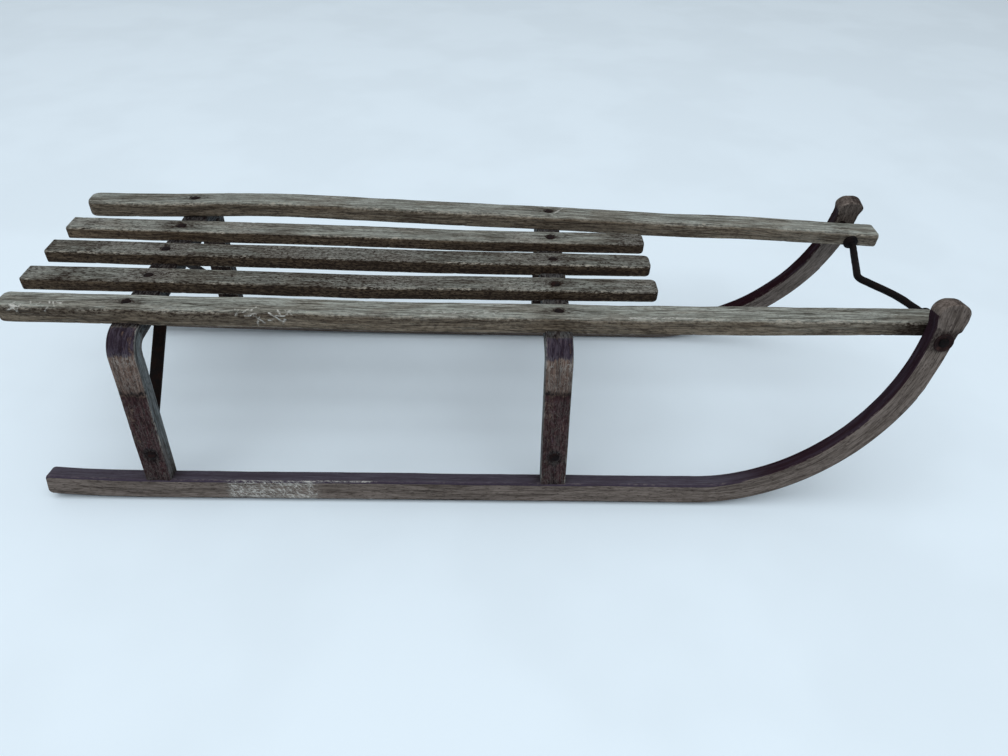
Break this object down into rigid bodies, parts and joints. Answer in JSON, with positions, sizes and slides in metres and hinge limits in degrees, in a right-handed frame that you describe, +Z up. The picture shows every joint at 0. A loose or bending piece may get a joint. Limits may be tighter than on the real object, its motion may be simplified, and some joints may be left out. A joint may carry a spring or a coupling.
{
  "type": "wooden sled",
  "caption": "Slatted wooden sled on upswept bentwood runners, with bent bows, iron stays, long side rails and an iron tie rod between the horns for a tow cord.",
  "frame": {"origin": "middle of the sled's footprint on the floor", "axes": "+X forward to the horns, +Y to the left side, +Z up"},
  "size_m": [1.0134, 0.352, 0.2655],
  "materials": {
    "seat_wood": "weathered grey-brown, grain raised",
    "runner_wood": "weathered brown with dark stain in the bend",
    "bow_wood": "worn dark red-brown stain",
    "iron": "old black-brown rust"
  },
  "bodies": {
    "root": {"runner_left": "runner_wood", "runner_right": "runner_wood", "shoe_left": "iron", "shoe_right": "iron", "bow_rear": "bow_wood", "bow_front": "bow_wood", "stay_rear": "iron", "stay_front": "iron", "slat_left": "seat_wood", "slat_centre": "seat_wood", "slat_right": "seat_wood", "rail_left": "seat_wood", "rail_right": "seat_wood", "tie_rod": "iron", "tie_bush_left": "iron", "tie_bush_right": "iron", "tie_washer_left": "iron", "tie_washer_right": "iron"}
  },
  "joints": []
}
